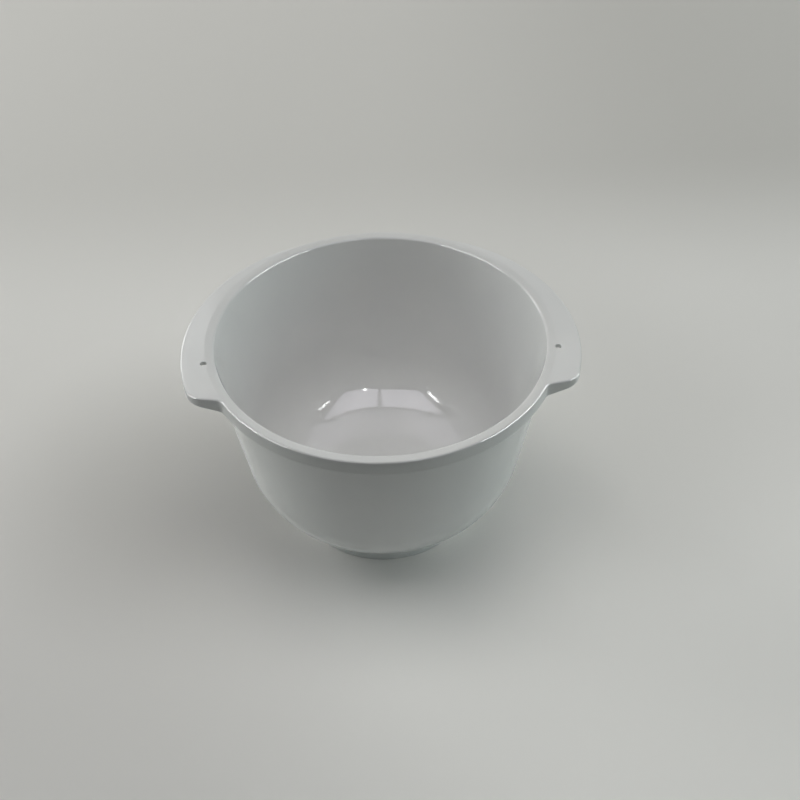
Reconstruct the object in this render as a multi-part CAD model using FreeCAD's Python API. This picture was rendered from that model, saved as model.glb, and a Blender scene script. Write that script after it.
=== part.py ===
import FreeCAD, Part
import math
import os

# Stand mixer bowl, moulded in one piece from white plastic. Millimetres, +Z up.
# The origin is the centre of the foot, on the surface that the bowl stands on.
# The blunt ends of the two handles face the front, -Y, and their tails run round to the back.

# Bowl shell
HEIGHT = 153.0
MOUTH_RADIUS = 110.0
WALL = 3.0
WALL_TAPER = 9.8
CORNER_RADIUS = 59.0
CORNER_CONES = 16
FLOOR_CLEARANCE = 9.9

# Rim: a lip with a skirt turned down all round it. Most of the lip slopes gently to the mouth.
LIP_WIDTH = 7.0
LIP_SLOPE_WIDTH = 5.7
LIP_SLOPE = 4.0
LIP_ROUND = 2.0
LIP_CONES = 3
RIM_PLATE = 3.0
RIM_EDGE_CHAMFER = 0.6
SKIRT_DEPTH = 10.8
SKIRT_WALL = 2.0
SKIRT_EDGE_CHAMFER = 0.7

# Handles: the right one, which the left one mirrors. Angles start at +X and grow towards +Y.
HANDLE_REACH = 14.0
HANDLE_ARC_RADIUS = 120.8
HANDLE_ARC_FORWARD = 8.2
FRONT_END_ANGLE = -28.0
FRONT_END_SLANT = 10.5
FRONT_CORNER_ROUND = 12.0
FRONT_NECK_ROUND = 5.0
TAIL_ROOT_ANGLE = 62.0
TAIL_END_SLANT = -19.0
TAIL_CORNER_ROUND = 18.0
TAIL_ROOT_ROUND = 18.0
UNDERCUT_ANGLE = 16.0

# Hanging hole and stiffening ribs of a handle
HOLE_RADIUS = 2.0
HOLE_FROM_MOUTH = 7.1
HOLE_ANGLE = -9.2
RIB_THICKNESS = 1.8
RIB_RECESS = 1.0
RIB_ANGLES = (-17.0, 4.0, 23.0, 42.0)

# Foot ring with the lugs that twist under the mixer's catches
FOOT_RADIUS = 63.5
FOOT_WALL = 3.0
FOOT_DRAFT = 1.5
FOOT_EDGE_CHAMFER = 0.8
LUG_COUNT = 3
LUG_SWEEP = 22.0
LUG_REACH = 3.0
LUG_THICKNESS = 2.6
LUG_LIFT = 1.6
LUG_LEAD_IN = 1.4

# How far a tool body runs past the surface that it cuts
OVERRUN = 5.0

UP = FreeCAD.Vector(0, 0, 1)
CENTRE = FreeCAD.Vector(0, 0, 0)
taper = math.radians(WALL_TAPER)
rim_radius = MOUTH_RADIUS + LIP_WIDTH
skirt_bottom = HEIGHT - SKIRT_DEPTH
plate_bottom = HEIGHT - RIM_PLATE


def section_point(r, z):
    """A point of a section, r from the bowl's axis and z above the table."""
    return FreeCAD.Vector(r, 0, z)


def on_arc(r, z, radius, degrees):
    """The point of a section's circle about r, z that lies at an angle from level."""
    angle = math.radians(degrees)
    return section_point(r + radius * math.cos(angle), z + radius * math.sin(angle))


def polar(radius, degrees, z):
    """The point at a radius and an angle in plan, z above the table."""
    angle = math.radians(degrees)
    return FreeCAD.Vector(radius * math.cos(angle), radius * math.sin(angle), z)


def turned(*points, sweep=360):
    """The solid that a closed run of section points makes when it turns about the bowl's axis."""
    return Part.Face(Part.makePolygon(points)).revolve(CENTRE, UP, sweep)


def wall_radius(mouth, z):
    """Radius at height z of a tapered wall that has the radius mouth at the rim."""
    return mouth - math.tan(taper) * (HEIGHT - z)


# One centre serves the inner and outer corner arcs, so the shell keeps its wall all the way.
outer_mouth = MOUTH_RADIUS + WALL / math.cos(taper)
corner_z = FLOOR_CLEARANCE + CORNER_RADIUS
corner_r = wall_radius(outer_mouth, corner_z) - CORNER_RADIUS / math.cos(taper)


def corner(radius):
    """Points of the corner arc of one face of the shell, from the floor up to the wall.

    The corner is drawn as a run of short cones, which keeps the mesh light.
    """
    turn = (90 - WALL_TAPER) / CORNER_CONES
    return [on_arc(corner_r, corner_z, radius, step * turn - 90) for step in range(CORNER_CONES + 1)]


def outer_form():
    """The outside of the shell as a full solid, without rim, handles and foot."""
    wall_top = section_point(wall_radius(outer_mouth, plate_bottom), plate_bottom)
    start = section_point(0, FLOOR_CLEARANCE)
    return turned(start, *corner(CORNER_RADIUS), wall_top, section_point(0, plate_bottom), start)


def lip():
    """Points from the inner wall over the lip's round, also drawn as cones, and up its slope."""
    fall = math.tan(math.radians(LIP_SLOPE))
    across = LIP_SLOPE_WIDTH - LIP_ROUND / math.cos(taper)
    depth = across * fall + LIP_ROUND / math.cos(math.radians(LIP_SLOPE))
    centre_z = HEIGHT - depth / (1 - math.tan(taper) * fall)
    centre_r = wall_radius(MOUTH_RADIUS, centre_z) + LIP_ROUND / math.cos(taper)
    first = 180 - WALL_TAPER
    turn = (90 + LIP_SLOPE - first) / LIP_CONES
    points = [on_arc(centre_r, centre_z, LIP_ROUND, first + step * turn) for step in range(LIP_CONES + 1)]
    return points + [section_point(MOUTH_RADIUS + LIP_SLOPE_WIDTH, HEIGHT)]


def inner_form():
    """The space inside the bowl, which flares over the lip and runs on above it."""
    start = section_point(0, FLOOR_CLEARANCE + WALL)
    above = section_point(MOUTH_RADIUS + LIP_SLOPE_WIDTH, HEIGHT + OVERRUN)
    centre_above = section_point(0, HEIGHT + OVERRUN)
    return turned(start, *corner(CORNER_RADIUS - WALL), *lip(), above, centre_above, start)


def half_space(through, degrees):
    """A block on the left of the upright plane that passes a point at an angle in plan."""
    size = 4 * rim_radius
    block = Part.makeBox(2 * size, size, size, FreeCAD.Vector(-size, 0, -size / 2))
    block.rotate(CENTRE, UP, degrees)
    block.translate(through)
    return block


def upright_corner(solid, near):
    """The upright edge of a solid that stands nearest to a point in plan."""
    def distance(edge):
        return math.hypot(edge.Vertexes[0].X - near.x, edge.Vertexes[0].Y - near.y)
    uprights = [e for e in solid.Edges if abs(e.tangentAt(e.FirstParameter).z) > 0.999]
    return min(uprights, key=distance)


def right_handle(bottom, top):
    """The rim's disc with the right handle on it: an arc cut off by a blunt end and a tail."""
    thickness = top - bottom
    base = FreeCAD.Vector(0, 0, bottom)
    arc_x = rim_radius + HANDLE_REACH - HANDLE_ARC_RADIUS
    arc_centre = FreeCAD.Vector(arc_x, -HANDLE_ARC_FORWARD, bottom)
    neck = polar(rim_radius, FRONT_END_ANGLE, bottom)
    root = polar(rim_radius, TAIL_ROOT_ANGLE, bottom)
    blade = Part.makeCylinder(HANDLE_ARC_RADIUS, thickness, arc_centre, UP)
    blade = blade.common(half_space(neck, FRONT_END_SLANT))
    blade = blade.common(half_space(root, 180 + TAIL_END_SLANT))
    blade = blade.common(half_space(base, TAIL_END_SLANT - 90))
    tip = upright_corner(blade, polar(rim_radius + HANDLE_REACH, FRONT_END_ANGLE, 0))
    tail = upright_corner(blade, polar(rim_radius + HANDLE_REACH, TAIL_ROOT_ANGLE, 0))
    blade = blade.makeFillet(FRONT_CORNER_ROUND, [tip])
    tail = upright_corner(blade, FreeCAD.Vector(tail.Vertexes[0].X, tail.Vertexes[0].Y, 0))
    blade = blade.makeFillet(TAIL_CORNER_ROUND, [tail])
    whole = blade.fuse(Part.makeCylinder(rim_radius, thickness, base, UP)).removeSplitter()
    whole = whole.makeFillet(FRONT_NECK_ROUND, [upright_corner(whole, neck)])
    return whole.makeFillet(TAIL_ROOT_ROUND, [upright_corner(whole, root)])


def mirrored(shape):
    """The same shape on the other side of the bowl."""
    return shape.mirror(CENTRE, FreeCAD.Vector(1, 0, 0))


def rim_block():
    """Rim and both handles as one full block, as deep as the skirt."""
    right = right_handle(skirt_bottom, HEIGHT)
    return right.fuse(mirrored(right)).removeSplitter()


def plan_face(block):
    """The flat top face of a block."""
    return max(block.Faces, key=lambda face: face.CenterOfMass.z)


def undercut(lift):
    """The ring below the handles that leaves their skirt lower at the rim than at the tip."""
    reach = 2 * HANDLE_REACH
    bottom = skirt_bottom + lift
    rise = reach * math.tan(math.radians(UNDERCUT_ANGLE))
    inner = section_point(rim_radius, bottom)
    below = section_point(rim_radius, bottom - OVERRUN)
    outer = section_point(rim_radius + reach, bottom + rise)
    under = section_point(rim_radius + reach, bottom - OVERRUN)
    return turned(inner, below, under, outer, inner)


def outline_edges(block, z):
    """The edges of a block's flat top or bottom face, which lies at height z."""
    return [edge for edge in block.Edges if max(abs(v.Z - z) for v in edge.Vertexes) < 0.001]


def rim():
    """Flat lip, handles and the skirt that hangs from their edge, hollow underneath."""
    block = rim_block()
    hollow_plan = plan_face(block).makeOffset2D(-SKIRT_WALL)
    block = block.makeChamfer(RIM_EDGE_CHAMFER, outline_edges(block, HEIGHT))
    block = block.makeChamfer(SKIRT_EDGE_CHAMFER, outline_edges(block, skirt_bottom))
    block = block.cut(undercut(0))
    hollow_plan.translate(FreeCAD.Vector(0, 0, -RIM_PLATE))
    hollow = hollow_plan.extrude(FreeCAD.Vector(0, 0, -SKIRT_DEPTH - OVERRUN))
    return block.cut(hollow)


def ribs():
    """Thin upright plates under the handles, from the shell out to the skirt."""
    plan = plan_face(rim_block()).makeOffset2D(-SKIRT_WALL / 2)
    plan.translate(FreeCAD.Vector(0, 0, -RIM_PLATE / 2))
    room = plan.extrude(FreeCAD.Vector(0, 0, skirt_bottom + RIB_RECESS - plate_bottom))
    room = room.cut(undercut(RIB_RECESS))
    plates = []
    for angle in RIB_ANGLES:
        low_corner = FreeCAD.Vector(MOUTH_RADIUS, -RIB_THICKNESS / 2, skirt_bottom)
        plate = Part.makeBox(2 * HANDLE_REACH, RIB_THICKNESS, SKIRT_DEPTH, low_corner)
        plate.rotate(CENTRE, UP, angle)
        plate = plate.common(room)
        plates += [plate, mirrored(plate)]
    return plates


def hanging_hole():
    """The hole through the right handle's plate."""
    place = polar(MOUTH_RADIUS + HOLE_FROM_MOUTH, HOLE_ANGLE, skirt_bottom - OVERRUN)
    return Part.makeCylinder(HOLE_RADIUS, SKIRT_DEPTH + 2 * OVERRUN, place, UP)


def foot():
    """The ring that the bowl stands on, from the table up into the shell's wall."""
    middle_radius = CORNER_RADIUS - WALL / 2
    seat = corner_z - math.sqrt(middle_radius ** 2 - (FOOT_RADIUS - corner_r) ** 2)
    spread = seat * math.tan(math.radians(FOOT_DRAFT))
    inner = FOOT_RADIUS - FOOT_WALL
    low = section_point(FOOT_RADIUS - FOOT_EDGE_CHAMFER, 0)
    high = section_point(FOOT_RADIUS, FOOT_EDGE_CHAMFER)
    top = section_point(FOOT_RADIUS + spread, seat)
    return turned(low, high, top, section_point(inner, seat), section_point(inner, 0), low)


def lug():
    """One lug inside the foot ring, with a sloped end that finds its way over the catch."""
    inner = FOOT_RADIUS - FOOT_WALL - LUG_REACH
    outer = FOOT_RADIUS - FOOT_WALL / 2
    top = LUG_LIFT + LUG_THICKNESS
    corners = [section_point(inner, LUG_LIFT), section_point(outer, LUG_LIFT),
               section_point(outer, top), section_point(inner, top)]
    solid = turned(*corners, corners[0], sweep=LUG_SWEEP)
    lead = [edge for edge in solid.Edges
            if abs(edge.CenterOfMass.y) < 0.001 and abs(edge.CenterOfMass.z - top) < 0.001]
    return solid.makeChamfer(LUG_LEAD_IN, lead)


def lugs():
    """The lugs, evenly spaced round the foot."""
    copies = []
    for index in range(LUG_COUNT):
        copy = lug()
        copy.rotate(CENTRE, UP, index * 360 / LUG_COUNT)
        copies.append(copy)
    return copies


def mixing_bowl():
    """The whole bowl: outer forms joined, then the inside and the holes cut out."""
    solid = outer_form().multiFuse([rim(), foot()] + ribs() + lugs())
    hole = hanging_hole()
    solid = solid.cut([inner_form(), hole, mirrored(hole)])
    return solid.removeSplitter()


os.makedirs("parts", exist_ok=True)
mixing_bowl().exportStep("parts/mixing_bowl.step")
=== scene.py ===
import math

import bpy
import numpy as np
from mathutils import Matrix, Vector


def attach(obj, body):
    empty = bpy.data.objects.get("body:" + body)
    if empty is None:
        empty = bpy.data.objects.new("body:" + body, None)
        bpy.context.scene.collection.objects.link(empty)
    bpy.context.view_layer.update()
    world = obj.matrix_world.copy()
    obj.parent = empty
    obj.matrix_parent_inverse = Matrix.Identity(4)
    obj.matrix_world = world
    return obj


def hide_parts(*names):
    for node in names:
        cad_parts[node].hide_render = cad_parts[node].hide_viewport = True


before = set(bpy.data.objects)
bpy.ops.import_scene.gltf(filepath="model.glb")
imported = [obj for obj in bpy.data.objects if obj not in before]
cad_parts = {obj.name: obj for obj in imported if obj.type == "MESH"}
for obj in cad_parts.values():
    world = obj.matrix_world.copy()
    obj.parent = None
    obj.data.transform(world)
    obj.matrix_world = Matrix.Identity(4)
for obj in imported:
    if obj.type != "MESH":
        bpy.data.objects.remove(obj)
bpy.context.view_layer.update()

# The bowl is in millimetres, as in its drawing. MM turns them to metres where a mesh is made.
MM = 0.001

# The shell: a tapered wall, a round bottom corner and a flat floor
HEIGHT = 153.0
MOUTH = 110.0
WALL = 3.0
TAPER = math.radians(9.8)
CORNER = 59.0
FLOOR_CLEARANCE = 9.9

# The lip: flat outside, then a gentle slope that ends in a round at the mouth
LIP_WIDTH = 7.0
SLOPE_WIDTH = 5.7
SLOPE = math.radians(4.0)
LIP_ROUND = 2.0
SLOPE_BLEND = 12.0

# The rim's plate, with the round under its edge, and the skirt that hangs from it
PLATE = 3.0
PLATE_ROUND = 0.4
TOP_EDGE = 1.2
SKIRT_DEPTH = 10.8
SKIRT_WALL = 2.0

# The right handle. Angles are in plan, from the right, +X, towards the back, +Y.
HANDLE_REACH = 14.0
HANDLE_ARC = 120.8
HANDLE_FORWARD = 8.2
FRONT_ANGLE = math.radians(-28.0)
FRONT_SLANT = math.radians(10.5)
FRONT_CORNER = 12.0
FRONT_NECK = 5.0
TAIL_ANGLE = math.radians(62.0)
TAIL_SLANT = math.radians(-19.0)
TAIL_CORNER = 18.0
TAIL_ROOT = 18.0
UNDERCUT = math.tan(math.radians(16.0))

# The hole in the handle, and the pin that cuts it
HOLE_RADIUS = 2.0
HOLE_EDGE = 0.35
HOLE_FROM_MOUTH = 7.1
HOLE_ANGLE = math.radians(-9.2)
PIN_DEPTH = 8.0
PIN_PAST_TOP = 0.5
PIN_SIDES = 48

# The ribs under the handle, by their angles in degrees
RIB_THICKNESS = 1.8
RIB_RECESS = 1.0
RIB_ROOT = 2.0
RIB_ANGLES = (-17.0, 4.0, 23.0, 42.0)

# The foot ring, which meets the shell at about the height FOOT_TOP, and the lugs inside it
FOOT = 63.5
FOOT_WALL = 3.0
FOOT_DRAFT = math.tan(math.radians(1.5))
FOOT_TOP = 16.0
FOOT_EDGE = 0.9
FOOT_INNER_EDGE = 0.5
FOOT_FILLET = 1.2
LUG_ANGLES = (0.0, 120.0, 240.0)
LUG_SWEEP = 22.0
LUG_REACH = 3.0
LUG_THICKNESS = 2.6
LUG_LIFT = 1.6
LUG_LEAD_IN = 1.4

# The spacing of the plan's points on each kind of stretch
ARC_STEP = 1.9
STRAIGHT_STEP = 1.6
NECK_STEP = 0.5
TIP_STEP = 0.7
TAIL_STEP = 1.2

# Edges sharper than this stay sharp in the shading
SHARP = math.radians(32.0)

RIM = MOUTH + LIP_WIDTH
SKIRT_BOTTOM = HEIGHT - SKIRT_DEPTH
PLATE_BOTTOM = HEIGHT - PLATE
OUTER_MOUTH = MOUTH + WALL / math.cos(TAPER)
CORNER_Z = FLOOR_CLEARANCE + CORNER
CORNER_R = OUTER_MOUTH - math.tan(TAPER) * (HEIGHT - CORNER_Z) - CORNER / math.cos(TAPER)


def wall_radius(mouth, z):
    """Radius of a tapered wall at a height: the mouth's, less the depth below the rim times tan taper."""
    return mouth - math.tan(TAPER) * (HEIGHT - z)


def unit(angle):
    """The direction in plan at an angle: (cos angle, sin angle)."""
    return np.array([math.cos(angle), math.sin(angle)])


def bend(centre, radius, first, last, step):
    """Points and outward directions along an arc of the plan, about step mm apart.

    A point is the centre plus the radius times (cos, sin) of an angle that runs from first to last.
    The arc bulges outwards where the angle grows, and inwards where it falls.
    """
    count = max(3, int(abs(last - first) * radius / step) + 1)
    angle = np.linspace(first, last, count)
    way = np.stack([np.cos(angle), np.sin(angle)], 1)
    outward = way if last > first else -way
    return centre + radius * way, outward


def right_outline():
    """The right half of the rim's plan from front to back, with its outward directions.

    It runs round the rim, through the neck's fillet, along the handle's blunt end, round its corner,
    along the handle's arc, round the tail's corner and through the tail's fillet back to the rim.
    Each fillet's centre is where the lines and circles that it touches, moved by its radius, cross.
    """
    axis = np.zeros(2)
    same_point = 0.01
    arc_centre = np.array([RIM + HANDLE_REACH - HANDLE_ARC, -HANDLE_FORWARD])
    neck, root = RIM * unit(FRONT_ANGLE), RIM * unit(TAIL_ANGLE)
    front_along, tail_along = unit(FRONT_SLANT), unit(math.pi + TAIL_SLANT)
    front_out = np.array([front_along[1], -front_along[0]])
    tail_out = np.array([tail_along[1], -tail_along[0]])

    def crossing(through, along, centre, radius, far):
        """Where a line crosses a circle about centre: the far or the near one of the two places."""
        middle = through + along * ((centre - through) @ along)
        reach = math.sqrt(radius ** 2 - (middle - centre) @ (middle - centre))
        return middle + along * (reach if far else -reach)

    def angle_of(vector):
        return math.atan2(vector[1], vector[0])

    neck_centre = crossing(neck + front_out * FRONT_NECK, front_along, axis, RIM + FRONT_NECK, True)
    tip_centre = crossing(neck - front_out * FRONT_CORNER, front_along, arc_centre,
                          HANDLE_ARC - FRONT_CORNER, True)
    tail_centre = crossing(root - tail_out * TAIL_CORNER, tail_along, arc_centre,
                           HANDLE_ARC - TAIL_CORNER, False)
    root_centre = crossing(root + tail_out * TAIL_ROOT, tail_along, axis, RIM + TAIL_ROOT, False)
    neck_touch, root_touch = angle_of(neck_centre), angle_of(root_centre)
    front_down, tail_up = angle_of(front_out), angle_of(tail_out)
    tip_touch, tail_touch = angle_of(tip_centre - arc_centre), angle_of(tail_centre - arc_centre)
    runs = [bend(axis, RIM, -math.pi / 2, neck_touch, ARC_STEP),
            bend(neck_centre, FRONT_NECK, neck_touch + math.pi, front_down + math.pi, NECK_STEP),
            bend(tip_centre, FRONT_CORNER, front_down, tip_touch, TIP_STEP),
            bend(arc_centre, HANDLE_ARC, tip_touch, tail_touch, ARC_STEP),
            bend(tail_centre, TAIL_CORNER, tail_touch, tail_up, TAIL_STEP),
            bend(root_centre, TAIL_ROOT, tail_up + math.pi, root_touch + math.pi, TAIL_STEP),
            bend(axis, RIM, root_touch, math.pi / 2, ARC_STEP)]
    places, ways = [runs[0][0]], [runs[0][1]]
    for place, way in runs[1:]:
        gap = place[0] - places[-1][-1]
        length = math.hypot(*gap)
        if length > same_point:
            share = np.linspace(0, 1, max(2, int(length / STRAIGHT_STEP) + 2))[1:-1, None]
            places += [places[-1][-1] + share * gap, place]
            ways += [np.repeat(ways[-1][-1:], len(share), 0), way]
        else:
            places.append(place[1:])
            ways.append(way[1:])
    return np.concatenate(places), np.concatenate(ways)


def outline():
    """The whole plan of the rim: the right half, then its mirror image from back to front."""
    place, way = right_outline()
    flip = np.array([-1.0, 1.0])
    return (np.concatenate([place, (place * flip)[-2:0:-1]]),
            np.concatenate([way, (way * flip)[-2:0:-1]]))


def rounding(first, last, count):
    """Angles of a section's arc in radians, from degrees, both ends included."""
    return np.radians(np.linspace(first, last, count))


def lip_centre():
    """Centre of the lip's round, which touches the inner wall and the lip's slope."""
    fall = math.tan(SLOPE)
    across = SLOPE_WIDTH - LIP_ROUND / math.cos(TAPER)
    depth = across * fall + LIP_ROUND / math.cos(SLOPE)
    z = HEIGHT - depth / (1 - math.tan(TAPER) * fall)
    return wall_radius(MOUTH, z) + LIP_ROUND / math.cos(TAPER), z


def inside_section():
    """Radius and height along the bowl's inside: floor, corner arc, wall, lip round and lip slope.

    A flat floor, an arc of 90 degrees less the taper about (CORNER_R, CORNER_Z), the straight wall,
    the lip's round and a slope that eases into the flat top over an arc of radius SLOPE_BLEND.
    """
    radius = CORNER - WALL
    floor_r = CORNER_R * np.array([0.12, 0.25, 0.4, 0.55, 0.7, 0.85])
    turn = rounding(-90, -math.degrees(TAPER), 27)
    lip_r, lip_z = lip_centre()
    wall_low = CORNER_Z - radius * math.sin(TAPER)
    wall_high = lip_z + LIP_ROUND * math.sin(TAPER)
    wall_z = np.linspace(wall_low, wall_high, 14)[1:-1]
    crest = rounding(180 - math.degrees(TAPER), 90 + math.degrees(SLOPE), 10)
    top_r = MOUTH + SLOPE_WIDTH
    ease = SLOPE_BLEND * math.tan(SLOPE / 2)
    blend = np.linspace(SLOPE, 0, 5)
    slope_r = np.linspace(lip_r + LIP_ROUND * math.cos(crest[-1]), top_r - ease, 4)[1:-1]
    r = np.concatenate([floor_r, CORNER_R + radius * np.cos(turn), wall_radius(MOUTH, wall_z),
                        lip_r + LIP_ROUND * np.cos(crest), slope_r,
                        top_r + ease - SLOPE_BLEND * np.sin(blend)])
    z = np.concatenate([np.full_like(floor_r, FLOOR_CLEARANCE + WALL),
                        CORNER_Z + radius * np.sin(turn), wall_z, lip_z + LIP_ROUND * np.sin(crest),
                        HEIGHT - (top_r - slope_r) * math.tan(SLOPE),
                        HEIGHT - SLOPE_BLEND * (1 - np.cos(blend))])
    return r, z


def foot_section():
    """Radius and height from under the plate down the shell, round the foot and under the floor.

    The shell's outer wall and corner arc, a fillet into the foot's drafted side, the foot's two
    rounded edges, its inner side, and the outer corner arc and floor again inside the ring.
    """
    wall_z = np.linspace(PLATE_BOTTOM - PLATE_ROUND, CORNER_Z - CORNER * math.sin(TAPER), 14)
    side_r = FOOT + FOOT_DRAFT * FOOT_TOP
    fillet_r = side_r + FOOT_FILLET
    fillet_z = CORNER_Z - math.sqrt((CORNER + FOOT_FILLET) ** 2 - (fillet_r - CORNER_R) ** 2)
    meet = math.atan2(fillet_z - CORNER_Z, fillet_r - CORNER_R)
    turn = np.linspace(-TAPER, meet, 26)[1:]
    hollow = np.linspace(meet + math.pi, math.pi, 8)[1:]
    inner = FOOT - FOOT_WALL
    seat = CORNER_Z - math.sqrt(CORNER ** 2 - (inner - CORNER_R) ** 2)
    under = np.linspace(math.atan2(seat - CORNER_Z, inner - CORNER_R), -math.pi / 2, 9)
    edge = rounding(0, -90, 6)
    inner_edge = rounding(-90, -180, 5)
    side_z = np.linspace(fillet_z, FOOT_EDGE, 6)[1:-1]
    ring_z = np.linspace(FOOT_INNER_EDGE, seat, 6)[1:-1]
    floor_r = CORNER_R * np.array([0.8, 0.6, 0.4, 0.2])
    r = np.concatenate([wall_radius(OUTER_MOUTH, wall_z), CORNER_R + CORNER * np.cos(turn),
                        fillet_r + FOOT_FILLET * np.cos(hollow), FOOT + FOOT_DRAFT * side_z,
                        FOOT - FOOT_EDGE + FOOT_EDGE * np.cos(edge),
                        inner + FOOT_INNER_EDGE * (1 + np.cos(inner_edge)), np.full_like(ring_z, inner),
                        CORNER_R + CORNER * np.cos(under), floor_r])
    z = np.concatenate([wall_z, CORNER_Z + CORNER * np.sin(turn),
                        fillet_z + FOOT_FILLET * np.sin(hollow), side_z,
                        FOOT_EDGE * (1 + np.sin(edge)), FOOT_INNER_EDGE * (1 + np.sin(inner_edge)),
                        ring_z, CORNER_Z + CORNER * np.sin(under),
                        np.full_like(floor_r, FLOOR_CLEARANCE)])
    return r, z


def rim_rows(place, way):
    """Rows of points over the rim's outside, from the flat top's outer edge to under the plate.

    A row lies at an inset from the plan's outline, along its inward direction, and at a height.
    The skirt's lower edge climbs by UNDERCUT times the distance past the rim's own radius.
    """
    radius = np.hypot(place[:, 0], place[:, 1])
    low = SKIRT_BOTTOM + UNDERCUT * np.maximum(radius - RIM, 0)
    rows = []

    def row(inset, z):
        flat = place - inset * way
        rows.append(np.column_stack([flat, np.broadcast_to(z, len(flat))]))

    for angle in rounding(90, 0, 7):
        row(TOP_EDGE * (1 - math.cos(angle)), HEIGHT - TOP_EDGE + TOP_EDGE * math.sin(angle))
    half = SKIRT_WALL / 2
    for share in (0.12, 0.35, 0.65, 0.9):
        row(0.0, HEIGHT - TOP_EDGE + share * (low + half - HEIGHT + TOP_EDGE))
    for angle in rounding(0, -180, 11):
        row(half - half * math.cos(angle), low + half + half * math.sin(angle))
    for share in (0.3, 0.7):
        row(SKIRT_WALL, low + half + share * (PLATE_BOTTOM - PLATE_ROUND - low - half))
    for angle in rounding(0, 90, 4):
        row(SKIRT_WALL + PLATE_ROUND * (1 - math.cos(angle)),
            PLATE_BOTTOM - PLATE_ROUND * (1 - math.sin(angle)))
    return rows


def ring_rows(azimuth, radii, heights):
    """Rows of a turned surface: (r cos a, r sin a, z) for each radius and height."""
    return [np.column_stack([r * np.cos(azimuth), r * np.sin(azimuth), np.full(len(azimuth), z)])
            for r, z in zip(radii, heights)]


def between(first, last, shares):
    """Rows that divide the straight way from one row to another."""
    return [first + share * (last - first) for share in shares]


def shell_mesh():
    """The whole bowl as one closed grid: columns follow the rim's plan, rows the section."""
    place, way = outline()
    azimuth = np.unwrap(np.arctan2(place[:, 1], place[:, 0]))
    inside = ring_rows(azimuth, *inside_section())
    rim = rim_rows(place, way)
    outside = ring_rows(azimuth, *foot_section())
    rows = inside + between(inside[-1], rim[0], (0.25, 0.5, 0.75, 0.94))
    under_plate = outside[0] + np.array([0, 0, PLATE_ROUND])
    rows += rim + between(rim[-1], under_plate, (0.1, 0.5, 0.9)) + outside
    rings, columns = len(rows), len(place)
    grid = np.arange(rings * columns).reshape(rings, columns)
    a, b = grid[:-1], grid[1:]
    quads = np.stack([a, b, np.roll(b, -1, 1), np.roll(a, -1, 1)], -1).reshape(-1, 4)
    floor_pole, under_pole = rings * columns, rings * columns + 1
    first, last = grid[0], grid[-1]
    caps = [[floor_pole, i, j] for i, j in zip(first, np.roll(first, -1))]
    caps += [[under_pole, j, i] for i, j in zip(last, np.roll(last, -1))]
    points = np.concatenate(rows + [np.array([[0, 0, FLOOR_CLEARANCE + WALL],
                                              [0, 0, FLOOR_CLEARANCE]])])
    mesh = bpy.data.meshes.new("mixing_bowl_shell")
    mesh.from_pydata(points * MM, [], quads.tolist() + caps)
    mesh.update()
    return mesh


def add(name, mesh):
    """A new object in the scene, at the origin."""
    piece = bpy.data.objects.new(name, mesh)
    bpy.context.scene.collection.objects.link(piece)
    return piece


def prism(bottom, top):
    """A closed solid from two loops of points with the same count, bottom and top."""
    count = len(bottom)
    low, high = list(range(count)), list(range(count, 2 * count))
    sides = [[i, (i + 1) % count, count + (i + 1) % count, count + i] for i in range(count)]
    return np.concatenate([bottom, top]), [low[::-1], high] + sides


def merged(name, solids):
    """One mesh from a list of (points, faces), each a closed solid that points outwards."""
    points, faces, start = [], [], 0
    for place, loops in solids:
        points.append(place)
        faces += [[start + i for i in loop] for loop in loops]
        start += len(place)
    mesh = bpy.data.meshes.new(name)
    mesh.from_pydata(np.concatenate(points) * MM, [], faces)
    mesh.update()
    return mesh


def rib(angle):
    """A thin upright plate from the shell to the middle of the skirt, at an angle in degrees.

    Its outer end lies where its direction crosses the handle's arc, less half the skirt's wall: with
    the arc's centre c, the distance is d.c plus the root of (d.c)^2 - c.c + radius^2. Its lower edge
    climbs with the undercut.
    """
    arc_x = RIM + HANDLE_REACH - HANDLE_ARC
    way = unit(math.radians(angle))
    along = arc_x * way[0] - HANDLE_FORWARD * way[1]
    radius = HANDLE_ARC - SKIRT_WALL / 2
    reach = along + math.sqrt(along ** 2 - arc_x ** 2 - HANDLE_FORWARD ** 2 + radius ** 2)
    across = np.array([-way[1], way[0]]) * RIB_THICKNESS / 2
    low = SKIRT_BOTTOM + RIB_RECESS
    section = np.array([[MOUTH, low], [RIM, low], [reach, low + UNDERCUT * (reach - RIM)],
                        [reach, HEIGHT - PLATE / 2], [MOUTH + RIB_ROOT, HEIGHT - PLATE / 2]])
    flat = section[:, :1] * way
    one = np.column_stack([flat - across, section[:, 1]])
    two = np.column_stack([flat + across, section[:, 1]])
    return prism(two, one)


def lug(start):
    """One lug: an arc of a ring from LUG_LIFT up, its first few degrees sloped down at the top."""
    inner, outer = FOOT - FOOT_WALL - LUG_REACH, FOOT - FOOT_WALL / 2
    lead = math.degrees(LUG_LEAD_IN / inner)
    turns = np.concatenate([[0.0, lead], np.linspace(lead, LUG_SWEEP, 9)[1:]])
    drop = np.zeros_like(turns)
    drop[0] = LUG_LEAD_IN
    steps = len(turns) - 1
    points = []
    for turn, fall in zip(np.radians(turns + start), drop):
        for r, z in ((inner, LUG_LIFT), (outer, LUG_LIFT), (outer, LUG_LIFT + LUG_THICKNESS - fall),
                     (inner, LUG_LIFT + LUG_THICKNESS - fall)):
            points.append([r * math.cos(turn), r * math.sin(turn), z])
    faces = [[0, 1, 2, 3], [4 * steps + 3, 4 * steps + 2, 4 * steps + 1, 4 * steps]]
    for step in range(steps):
        for side in range(4):
            a, b = 4 * step + side, 4 * step + (side + 1) % 4
            faces.append([a, a + 4, b + 4, b])
    return np.array(points), faces


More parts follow.
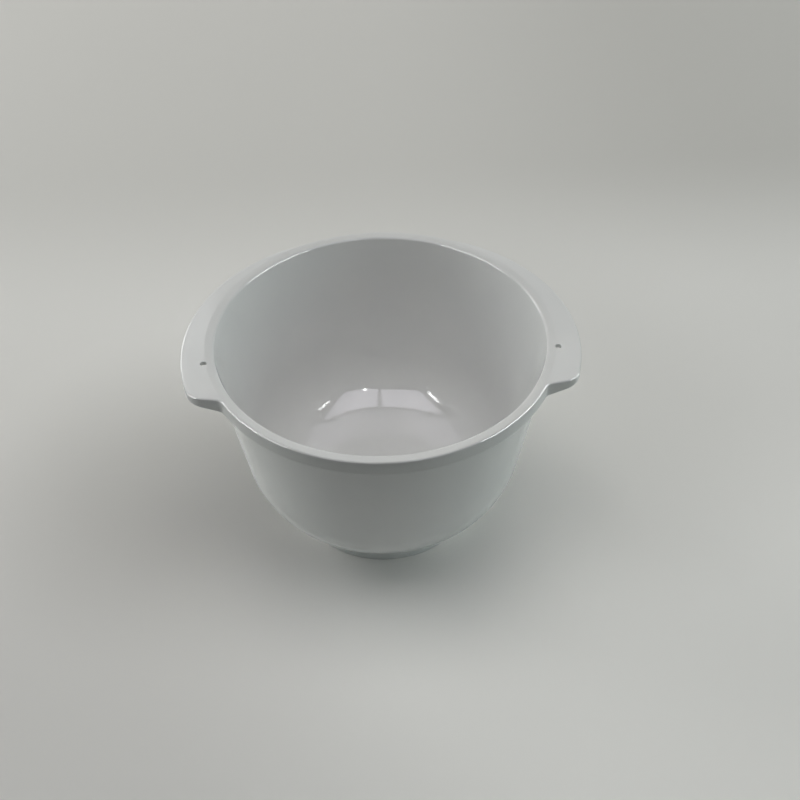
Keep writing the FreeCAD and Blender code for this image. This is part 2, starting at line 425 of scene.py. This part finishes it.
def flipped(solid):
    """The mirror image of a solid in the bowl's middle plane, its faces turned back outwards."""
    points, faces = solid
    return points * np.array([-1.0, 1.0, 1.0]), [face[::-1] for face in faces]


def hole_cutter():
    """A pin through the handle whose last part, at the top, widens as a cone of 45 degrees."""
    centre = (MOUTH + HOLE_FROM_MOUTH) * unit(HOLE_ANGLE)
    turn = np.linspace(0, 2 * math.pi, PIN_SIDES + 1)[:-1]
    widest = HOLE_RADIUS + HOLE_EDGE + PIN_PAST_TOP
    ends = ((HOLE_RADIUS, HEIGHT - PIN_DEPTH), (HOLE_RADIUS, HEIGHT - HOLE_EDGE),
            (widest, HEIGHT + PIN_PAST_TOP))
    points = np.concatenate([np.column_stack([centre[0] + r * np.cos(turn), centre[1] + r * np.sin(turn),
                                              np.full(PIN_SIDES, z)]) for r, z in ends])
    low, middle, high = np.arange(3 * PIN_SIDES).reshape(3, PIN_SIDES).tolist()
    faces = [low[::-1], high]
    for one, two in ((low, middle), (middle, high)):
        faces += [[a, b, d, c] for a, b, c, d in zip(one, one[1:] + one[:1], two, two[1:] + two[:1])]
    return points, faces


def mould(piece, operation, solids):
    """Joins solids to a piece, or cuts them out of it, and keeps the result as its mesh."""
    tool = add("tool", merged("tool", solids))
    cut = piece.modifiers.new("cut", "BOOLEAN")
    cut.operation = operation
    cut.solver = "EXACT"
    cut.object = tool
    bpy.context.view_layer.update()
    shape = piece.evaluated_get(bpy.context.evaluated_depsgraph_get())
    result = bpy.data.meshes.new_from_object(shape)
    piece.modifiers.clear()
    piece.data = result
    bpy.data.objects.remove(tool)


bowl = add("bowl", shell_mesh())
ribs = [rib(angle) for angle in RIB_ANGLES]
lugs = [lug(start) for start in LUG_ANGLES]
mould(bowl, "UNION", ribs + [flipped(one) for one in ribs] + lugs)
pin = hole_cutter()
mould(bowl, "DIFFERENCE", [pin, flipped(pin)])
bowl.data.shade_smooth()
bowl.data.set_sharp_from_angle(angle=SHARP)
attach(bowl, "root")
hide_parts("mixing_bowl")


class Socket:
    """A node's output with Python's operators, each of which adds one Math node."""

    def __init__(self, tree, link):
        self.tree = tree
        self.link = link

    def maths(self, operation, one, two):
        return self.tree.node("ShaderNodeMath", {"operation": operation}, [one, two])

    def __add__(self, other):
        return self.maths("ADD", self, other)

    def __sub__(self, other):
        return self.maths("SUBTRACT", self, other)

    def __rsub__(self, other):
        return self.maths("SUBTRACT", other, self)

    def __mul__(self, other):
        return self.maths("MULTIPLY", self, other)

    __radd__ = __add__
    __rmul__ = __mul__

    def above(self, low, high):
        """0 below low, 1 above high, and smooth between."""
        values = {"Value": self, "From Min": low, "From Max": high}
        return self.tree.node("ShaderNodeMapRange", {"interpolation_type": "SMOOTHSTEP"}, values)


class Tree:
    """The node tree of a material or of the world, made empty."""

    def __init__(self, owner):
        owner.use_nodes = True
        self.nodes = owner.node_tree.nodes
        self.links = owner.node_tree.links
        self.nodes.clear()

    def node(self, kind, settings=None, values=None, output=0):
        """Adds a node with its settings and its sockets' values or links, and returns one output."""
        made = self.nodes.new(kind)
        for key, value in (settings or {}).items():
            setattr(made, key, value)
        pairs = values.items() if isinstance(values, dict) else enumerate(values or [])
        for key, value in pairs:
            if isinstance(value, Socket):
                self.links.new(value.link, made.inputs[key])
            else:
                made.inputs[key].default_value = value
        return Socket(self, made.outputs[output]) if made.outputs else made

    def place(self):
        """The object's own coordinates, in metres."""
        return self.node("ShaderNodeTexCoord", output=3)

    def along(self, place, axis):
        """One coordinate of a place: 0 for X, 1 for Y and 2 for Z."""
        return self.node("ShaderNodeSeparateXYZ", {}, [place], output=axis)

    def distance(self, place, point):
        return self.node("ShaderNodeVectorMath", {"operation": "DISTANCE"}, [place, point], output=1)

    def stretched(self, place, scale, turn=(0.0, 0.0, 0.0)):
        """A place turned and scaled along each axis, which stretches the pattern that reads it."""
        return self.node("ShaderNodeMapping", {}, {"Vector": place, "Scale": scale, "Rotation": turn})

    def noise(self, place, scale, detail):
        return self.node("ShaderNodeTexNoise", {}, {"Vector": place, "Scale": scale, "Detail": detail})

    def mix(self, share, one, two):
        """The colour one where share is 0, and two where it is 1."""
        return self.node("ShaderNodeMix", {"data_type": "RGBA"}, {0: share, 6: one, 7: two}, output=2)

    def from_camera(self):
        """1 for a ray that comes straight from the camera, and 0 for any other."""
        return self.node("ShaderNodeLightPath")


def white_plastic():
    """Moulded white plastic: high gloss, a faint flow in its tone, a fine skin and hairline rubs.

    The rubs are thin lines in two directions, where a noise that is stretched along them is high.
    They are strongest on the lower half, where spoons and whisks touch the inside.
    """
    material = bpy.data.materials.new("white_plastic")
    tree = Tree(material)
    place = tree.place()
    height = tree.along(place, 2)
    flow = tree.noise(tree.stretched(place, (6.0, 6.0, 2.5)), 1.0, 3.0)
    mottle = tree.noise(place, 38.0, 3.0)
    tone = flow * 0.7 + mottle * 0.3
    cool_white, warm_white = (0.745, 0.75, 0.745, 1), (0.785, 0.787, 0.775, 1)
    colour = tree.mix(tone.above(0.3, 0.7), cool_white, warm_white)
    rub_one = tree.noise(tree.stretched(place, (30.0, 900.0, 900.0), (0.3, 0.2, 0.5)), 1.0, 1.0)
    rub_two = tree.noise(tree.stretched(place, (900.0, 40.0, 900.0), (0.1, 0.5, -0.4)), 1.0, 1.0)
    rubs = rub_one.above(0.68, 0.76) + rub_two.above(0.7, 0.78)
    lower_half = height.above(0.012, 0.03) * (1 - height.above(0.09, 0.15))
    worn = rubs * (0.25 + 0.75 * lower_half)
    rough = 0.07 + 0.03 * mottle + 0.05 * worn
    skin = tree.noise(place, 1400.0, 1.0)
    waves = tree.noise(place, 24.0, 1.0)
    bump = tree.node("ShaderNodeBump", {}, {"Strength": 0.04, "Distance": 0.0004,
                                            "Height": skin * 0.12 + waves * 1.6 - worn * 0.1})
    shader = tree.node("ShaderNodeBsdfPrincipled", {},
                       {"Base Color": colour, "Roughness": rough, "IOR": 1.5, "Normal": bump})
    tree.node("ShaderNodeOutputMaterial", {}, {"Surface": shader})
    return material


bowl.data.materials.clear()
bowl.data.materials.append(white_plastic())


def sweep_mesh():
    """The floor and the backdrop behind it as one sheet: a plane, a quarter circle and a wall."""
    half_width, near_edge, bend_starts, bend_radius, wall_top = 6.0, -5.0, 1.6, 1.2, 5.0
    across = np.linspace(-half_width, half_width, 25)
    turn = np.radians(np.linspace(-90, 0, 25))
    flat = np.linspace(near_edge, bend_starts, 24)[:-1]
    run = np.concatenate([flat, bend_starts + bend_radius * np.cos(turn), [bend_starts + bend_radius]])
    rise = np.concatenate([np.zeros_like(flat), bend_radius * (1 + np.sin(turn)), [wall_top]])
    x, y = np.meshgrid(across, run)
    z = np.repeat(rise[:, None], len(across), 1)
    grid = np.arange(x.size).reshape(x.shape)
    quads = np.stack([grid[:-1, :-1], grid[:-1, 1:], grid[1:, 1:], grid[1:, :-1]], -1)
    mesh = bpy.data.meshes.new("floor_sweep")
    mesh.from_pydata(np.stack([x, y, z], -1).reshape(-1, 3), [], quads.reshape(-1, 4).tolist())
    mesh.shade_smooth()
    return mesh


# No colour, and the colour in which the far floor and the room end for the camera
BLACK = (0.0, 0.0, 0.0, 1)
PALE = (0.46, 0.46, 0.435, 1)


def seen_floor_with_painted_light(tree, place):
    """The floor's colour for the camera: four tones that run into each other, and two soft shades.

    Its four tones are painted light: in front of the bowl it gets lighter towards the right. Behind,
    it gets darker with distance, and far away also towards the right. The shades are painted shadows,
    round, at the bowl's left and behind it.
    """
    x, y = tree.along(place, 0), tree.along(place, 1)
    # Painted light: the floor's tone is lighter in front towards the right, and darker far behind and far
    # to the right
    front = tree.mix(x.above(-0.2, 0.16), (0.76, 0.75, 0.73, 1), (0.97, 0.96, 0.93, 1))
    distant = tree.mix(x.above(0.0, 0.4), (0.65, 0.64, 0.615, 1), (0.57, 0.56, 0.535, 1))
    back = tree.mix(y.above(0.2, 0.45), (0.785, 0.775, 0.75, 1), distant)
    level = tree.mix(y.above(-0.12, 0.1), front, back)
    # Painted shadows: round dark pools on the floor at the bowl's left and behind it, blending the tone
    # towards dark grey
    left = 1 - tree.distance(place, (-0.14, 0.02, 0.0)).above(0.02, 0.19)
    behind = 1 - tree.distance(place, (0.07, 0.08, 0.0)).above(0.1, 0.28)
    return tree.mix(0.6 * left + 0.2 * behind, level, (0.42, 0.415, 0.4, 1))


def pale_paper():
    """The matt pale grey sheet that the bowl stands on.

    The camera sees it in the photo's tones, which are painted light and painted shadows, and far away in
    an even pale colour. For every other ray it is nearly white, and dark in front of the bowl, so that
    little light comes back from there.
    """
    material = bpy.data.materials.new("pale_paper")
    tree = Tree(material)
    place = tree.place()
    y = tree.along(place, 1)
    far = tree.distance(place, (0.0, 0.0, 0.0)).above(0.95, 1.8)
    from_camera = tree.from_camera()
    unseen = tree.mix(y.above(-0.5, -0.2), (0.06, 0.06, 0.06, 1), (0.8, 0.805, 0.785, 1))
    seen = tree.mix(far, seen_floor_with_painted_light(tree, place), BLACK)
    colour = tree.mix(from_camera, unseen, seen)
    # For the camera the far floor glows an even pale through its emission, though it is no lamp
    far_glow = tree.mix(far * from_camera, BLACK, PALE)
    shader = tree.node("ShaderNodeBsdfPrincipled", {}, {"Base Color": colour, "Roughness": 0.75,
                                                        "Specular IOR Level": 0.0,
                                                        "Emission Color": far_glow,
                                                        "Emission Strength": 1.0})
    tree.node("ShaderNodeOutputMaterial", {}, {"Surface": shader})
    return material


floor = add("floor", sweep_mesh())
floor.data.materials.append(pale_paper())

# Lamp places in metres: soft lamps stand LAMP_AWAY from the origin, and CEILING is the cards' height
LAMP_AWAY = 2.0
CEILING = 1.8
STROKE_WIDTH = 0.05
WHITE = (1.0, 1.0, 1.0)
WARM = (1.0, 0.98, 0.965)
COOL = (0.85, 1.0, 1.0)
SKY = (0.945, 0.91, 1.0)


def dark_room():
    """The room beyond the lamps: pale for the camera, dim and even for everything else."""
    world = bpy.data.worlds.new("room")
    bpy.context.scene.world = world
    tree = Tree(world)
    dim = tree.node("ShaderNodeBackground", {}, {"Color": (0.97, 1.0, 0.99, 1), "Strength": 0.02})
    pale = tree.node("ShaderNodeBackground", {}, {"Color": PALE, "Strength": 1.0})
    shader = tree.node("ShaderNodeMixShader", {}, [tree.from_camera(), dim, pale])
    tree.node("ShaderNodeOutputWorld", {}, {"Surface": shader})


def lamp(name, place, size, strength, aim=(0.0, 0.0, 0.05), colour=WHITE, seen=False):
    """A rectangular lamp that faces a point. Its strength is the brightness of its face, 1 for white.

    A lamp that is seen shows only in glossy surfaces. The others only light the scene.
    """
    light = bpy.data.lights.new(name, "AREA")
    light.shape = "RECTANGLE"
    light.size, light.size_y = size
    light.energy = strength * math.pi * size[0] * size[1]
    light.color = colour
    piece = bpy.data.objects.new(name, light)
    bpy.context.scene.collection.objects.link(piece)
    way = Vector(aim) - Vector(place)
    turn = way.to_track_quat("-Z", "Y").to_matrix().to_4x4()
    piece.matrix_world = Matrix.Translation(place) @ turn
    piece.visible_camera = False
    piece.visible_diffuse = not seen
    piece.visible_glossy = seen
    return piece


def around(elevation, turn):
    """A lamp's place by its height angle and its angle from the back, +Y, towards the right, +X."""
    high, side = math.radians(elevation), math.radians(turn)
    flat = LAMP_AWAY * math.cos(high)
    return flat * math.sin(side), flat * math.cos(side), LAMP_AWAY * math.sin(high)


def ceiling_card(name, x, y, strength, colour=SKY):
    """A level card overhead that shows in the gloss, between two values of x and two of y."""
    middle = ((x[0] + x[1]) / 2, (y[0] + y[1]) / 2, CEILING)
    below = (middle[0], middle[1], 0.0)
    lamp(name, middle, (x[1] - x[0], y[1] - y[0]), strength, below, colour, seen=True)


def streak(name, start, end, strength):
    """A tube lamp from one point to another that shows in the gloss as a short bright stroke.

    Its length runs along its local X, and its face looks at a point low in the bowl.
    """
    start, end = Vector(start), Vector(end)
    middle = (start + end) / 2
    piece = lamp(name, middle, ((end - start).length, STROKE_WIDTH), strength, seen=True)
    along = (end - start).normalized()
    face = (Vector((0.0, 0.0, 0.03)) - middle).normalized()
    across = along.cross(face).normalized()
    back = along.cross(across)
    turn = Matrix((along, across, back)).transposed().to_4x4()
    piece.matrix_world = Matrix.Translation(middle) @ turn


def soft_lamps():
    """Large lamps that light the scene: one above, three low behind, a high and a low one at each side.

    Each has its height angle, its turn from the back towards the right, its strength and its colour.
    """
    for name, elevation, turn, strength, colour in (
            ("top", 90, 0, 2.32, WARM),
            ("back", 20, 0, 1.5, WARM),
            ("back_left", 20, -60, 3.7, (0.975, 0.995, 0.975)),
            ("back_right", 20, 60, 1.85, (0.93, 1.0, 0.99)),
            ("left", 55, -90, 0.52, WHITE),
            ("right", 55, 90, 0.38, WHITE),
            ("low_left", 14, -100, 0.52, COOL),
            ("low_right", 14, 100, 1.8, COOL)):
        lamp(name, around(elevation, turn), (1.2, 1.2), strength, colour=colour)


def ceiling_and_window():
    """What the gloss shows overhead: the ceiling, and the two parts of a window with a bar between.

    The window's edge towards the bowl is bent, so small cards follow it in steps.
    """
    ceiling_card("ceiling_far", (-2.0, 2.0), (1.9, 3.2), 0.5, WHITE)
    ceiling_card("ceiling_back", (-2.0, 2.0), (0.9, 1.5), 1.0, WHITE)
    ceiling_card("ceiling_back_left", (-2.0, -0.45), (1.5, 1.9), 1.0, WHITE)
    ceiling_card("ceiling_back_right", (0.45, 2.0), (1.5, 1.9), 1.0, WHITE)
    ceiling_card("ceiling_mid", (-0.35, 0.35), (-0.47, 0.9), 0.98)
    ceiling_card("ceiling_mid_left", (-0.85, -0.35), (-0.38, 0.9), 1.7)
    ceiling_card("ceiling_mid_right", (0.35, 0.85), (-0.4, 0.9), 1.5)
    ceiling_card("ceiling_left", (-1.5, -0.85), (-0.14, 0.9), 1.6)
    ceiling_card("ceiling_right", (0.85, 1.6), (-0.16, 0.9), 1.4)
    ceiling_card("ceiling_left_end", (-2.3, -1.5), (0.0, 0.9), 0.7)
    ceiling_card("ceiling_right_end", (1.6, 2.4), (0.0, 0.9), 0.6)
    ceiling_card("window_left", (-1.5, -0.02), (-1.85, -0.6), 3.9)
    ceiling_card("window_right", (0.07, 0.95), (-2.0, -0.66), 4.25)
    ceiling_card("window_right_end", (0.95, 1.4), (-2.0, -0.66), 3.4)
    # A step has its two values of x, the y that it reaches to, and its strength.
    left_steps = ((-0.5, -0.22, -0.57, 3.9), (-0.85, -0.5, -0.51, 3.9), (-1.2, -0.85, -0.41, 3.7),
                  (-1.5, -1.2, -0.28, 3.3))
    right_steps = ((0.25, 0.5, -0.62, 4.2), (0.5, 0.8, -0.54, 4.0), (0.8, 1.1, -0.41, 3.5),
                   (1.1, 1.4, -0.26, 3.0))
    for name, edge, steps in (("window_left", -0.6, left_steps), ("window_right", -0.66, right_steps)):
        for step, (x, next_x, y, strength) in enumerate(steps):
            ceiling_card(f"{name}_{step}", (x, next_x), (edge, y), strength)
    lamp("back_left_pane", around(39, -28), (0.9, 0.6), 1.23, seen=True)


def bright_spots():
    """Small lamps beside the bowl for its bright edges, and further off for the strokes and the dot.

    The left stroke's lamp stands at the right and the right stroke's at the left, because each shows
    in the wall on the other side of the bowl.
    """
    for name, side, strength in (("left_edge", -1, 26.0), ("right_edge", 1, 24.0)):
        beside, neck = (side * 0.40, -0.12, 0.235), (side * 0.105, -0.05, 0.15)
        lamp(name, beside, (0.4, 0.13), strength, neck, seen=True)
    lamp("left_back_edge", (-0.38, 0.30, 0.25), (0.2, 0.2), 6.3, (-0.13, 0.02, 0.15), seen=True)
    streak("streak_left", (1.392, -0.552, 1.276), (1.249, -0.884, 1.228), 30.0)
    streak("streak_right", (-1.182, -1.104, 1.095), (-1.336, -0.663, 1.281), 44.0)
    lamp("dot", (0.391, -1.41, 1.304), (0.07, 0.09), 65.0, seen=True)


dark_room()
soft_lamps()
ceiling_and_window()
bright_spots()

# The camera's place in metres, its angle from +Y to the right, its angle down, its roll and its lens
CAMERA_PLACE = (-0.02216, -0.655239, 0.709772)
CAMERA_HEADING = math.radians(3.01968)
CAMERA_DOWN = math.radians(43.1744)
CAMERA_ROLL = math.radians(-0.82)
FOCAL_PIXELS = 1300.0
PICTURE_WIDTH = 800.0


def photo_camera():
    """The camera at the photograph's place, 43 degrees down, nearly along +Y and rolled by a degree."""
    flat = math.cos(CAMERA_DOWN)
    forward = Vector((flat * math.sin(CAMERA_HEADING), flat * math.cos(CAMERA_HEADING),
                      -math.sin(CAMERA_DOWN)))
    side = forward.cross(Vector((0, 0, 1))).normalized()
    up = side.cross(forward)
    right = math.cos(CAMERA_ROLL) * side + math.sin(CAMERA_ROLL) * up
    top = math.cos(CAMERA_ROLL) * up - math.sin(CAMERA_ROLL) * side
    lens = bpy.data.cameras.new("camera")
    lens.sensor_width = 36.0
    lens.lens = lens.sensor_width * FOCAL_PIXELS / PICTURE_WIDTH
    camera = bpy.data.objects.new("camera", lens)
    bpy.context.scene.collection.objects.link(camera)
    turn = Matrix((right, top, -forward)).transposed().to_4x4()
    camera.matrix_world = Matrix.Translation(CAMERA_PLACE) @ turn
    bpy.context.scene.camera = camera


photo_camera()
bpy.context.scene.view_settings.view_transform = "Standard"
